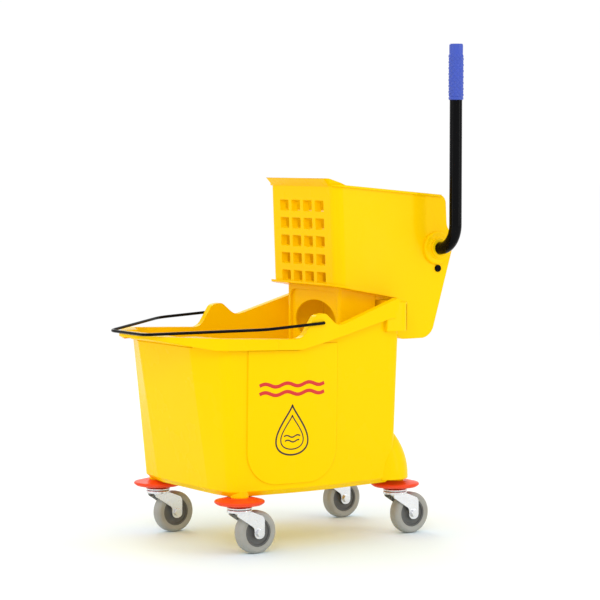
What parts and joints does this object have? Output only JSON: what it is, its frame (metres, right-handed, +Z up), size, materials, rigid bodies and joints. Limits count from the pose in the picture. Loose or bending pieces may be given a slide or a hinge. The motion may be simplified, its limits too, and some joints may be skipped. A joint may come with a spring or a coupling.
{
  "type": "mop bucket with side-press wringer",
  "caption": "Wheeled cleaning bucket with a pouring lip, a bail handle and a lift-off wringer whose lever presses a mop head against a perforated face.",
  "frame": {"origin": "on the floor under the middle of the object", "axes": "+Z up, -X towards the pouring lip, +X towards the wringer, -Y the side with the lever"},
  "size_m": [0.6488, 0.3746, 0.9],
  "materials": {
    "tub_plastic": "moulded, semi-gloss yellow",
    "wringer_plastic": "moulded, semi-gloss yellow",
    "bumper_plastic": "moulded, orange-red",
    "black_steel": "gloss black",
    "black_plastic": "satin black",
    "grip_vinyl": "pimpled blue vinyl",
    "zinc_steel": "bright zinc plate",
    "gear_steel": "machined, oiled",
    "nylon": "natural nylon",
    "hub_plastic": "dark grey",
    "tyre_rubber": "grey, non-marking"
  },
  "bodies": {
    "bucket": {"bucket_tub": "tub_plastic", "front_left_bumper": "bumper_plastic", "front_left_caster_stem": "zinc_steel", "front_left_caster_cup": "zinc_steel", "front_right_bumper": "bumper_plastic", "front_right_caster_stem": "zinc_steel", "front_right_caster_cup": "zinc_steel", "rear_left_bumper": "bumper_plastic", "rear_left_caster_stem": "zinc_steel", "rear_left_caster_cup": "zinc_steel", "rear_right_bumper": "bumper_plastic", "rear_right_caster_stem": "zinc_steel", "rear_right_caster_cup": "zinc_steel"},
    "bail": {"bail_handle": "black_steel"},
    "front_left_swivel": {"front_left_caster_fork": "zinc_steel", "front_left_axle_bolt": "zinc_steel", "front_left_axle_nut": "zinc_steel", "front_left_axle_sleeve": "zinc_steel"},
    "front_left_wheel": {"front_left_wheel_hub": "hub_plastic", "front_left_wheel_tyre": "tyre_rubber"},
    "front_right_swivel": {"front_right_caster_fork": "zinc_steel", "front_right_axle_bolt": "zinc_steel", "front_right_axle_nut": "zinc_steel", "front_right_axle_sleeve": "zinc_steel"},
    "front_right_wheel": {"front_right_wheel_hub": "hub_plastic", "front_right_wheel_tyre": "tyre_rubber"},
    "rear_left_swivel": {"rear_left_caster_fork": "zinc_steel", "rear_left_axle_bolt": "zinc_steel", "rear_left_axle_nut": "zinc_steel", "rear_left_axle_sleeve": "zinc_steel"},
    "rear_left_wheel": {"rear_left_wheel_hub": "hub_plastic", "rear_left_wheel_tyre": "tyre_rubber"},
    "rear_right_swivel": {"rear_right_caster_fork": "zinc_steel", "rear_right_axle_bolt": "zinc_steel", "rear_right_axle_nut": "zinc_steel", "rear_right_axle_sleeve": "zinc_steel"},
    "rear_right_wheel": {"rear_right_wheel_hub": "hub_plastic", "rear_right_wheel_tyre": "tyre_rubber"},
    "wringer": {"wringer_housing": "wringer_plastic", "left_shaft_bush": "wringer_plastic", "right_shaft_bush": "wringer_plastic", "rack_guide": "nylon", "left_guide_screw": "black_steel", "right_guide_screw": "black_steel"},
    "lever": {"lever_tube": "black_steel", "lever_grip": "grip_vinyl", "left_pinion": "gear_steel", "right_pinion": "gear_steel", "pinion_pins": "zinc_steel", "shaft_end_cap": "black_plastic"},
    "press": {"press_plate": "wringer_plastic", "left_rack": "gear_steel", "right_rack": "gear_steel", "rack_screws": "zinc_steel"}
  },
  "joints": [
    {"name": "bail_swing", "type": "hinge", "parent": "bucket", "child": "bail", "pos_m": [-0.028, 0, 0.403], "axis": [0, 1, 0], "range_deg": [0, 100]},
    {"name": "front_left_swivel_turn", "type": "hinge", "parent": "bucket", "child": "front_left_swivel", "pos_m": [-0.17875, -0.142, 0.08], "axis": [0, 0, 1], "continuous": true},
    {"name": "front_left_wheel_spin", "type": "hinge", "parent": "front_left_swivel", "child": "front_left_wheel", "pos_m": [-0.14675, -0.142, 0.038], "axis": [0, 1, 0], "continuous": true},
    {"name": "front_right_swivel_turn", "type": "hinge", "parent": "bucket", "child": "front_right_swivel", "pos_m": [-0.17875, 0.142, 0.08], "axis": [0, 0, 1], "continuous": true},
    {"name": "front_right_wheel_spin", "type": "hinge", "parent": "front_right_swivel", "child": "front_right_wheel", "pos_m": [-0.14675, 0.142, 0.038], "axis": [0, 1, 0], "continuous": true},
    {"name": "rear_left_swivel_turn", "type": "hinge", "parent": "bucket", "child": "rear_left_swivel", "pos_m": [0.17875, -0.1105, 0.08], "axis": [0, 0, 1], "continuous": true},
    {"name": "rear_left_wheel_spin", "type": "hinge", "parent": "rear_left_swivel", "child": "rear_left_wheel", "pos_m": [0.21075, -0.1105, 0.038], "axis": [0, 1, 0], "continuous": true},
    {"name": "rear_right_swivel_turn", "type": "hinge", "parent": "bucket", "child": "rear_right_swivel", "pos_m": [0.17875, 0.1105, 0.08], "axis": [0, 0, 1], "continuous": true},
    {"name": "rear_right_wheel_spin", "type": "hinge", "parent": "rear_right_swivel", "child": "rear_right_wheel", "pos_m": [0.21075, 0.1105, 0.038], "axis": [0, 1, 0], "continuous": true},
    {"name": "wringer_lift", "type": "slide", "parent": "bucket", "child": "wringer", "axis": [0, 0, 1], "range_m": [0, 0.3]},
    {"name": "lever_swing", "type": "hinge", "parent": "wringer", "child": "lever", "pos_m": [0.271, 0, 0.526], "axis": [0, 1, 0], "range_deg": [0, 90]},
    {"name": "press_slide", "type": "slide", "parent": "wringer", "child": "press", "axis": [-1, 0, 0], "range_m": [0, 0.0425]}
  ],
  "couplings": [
    {"joint": "press_slide", "follows": "lever_swing", "m_per_rad": 0.027}
  ]
}
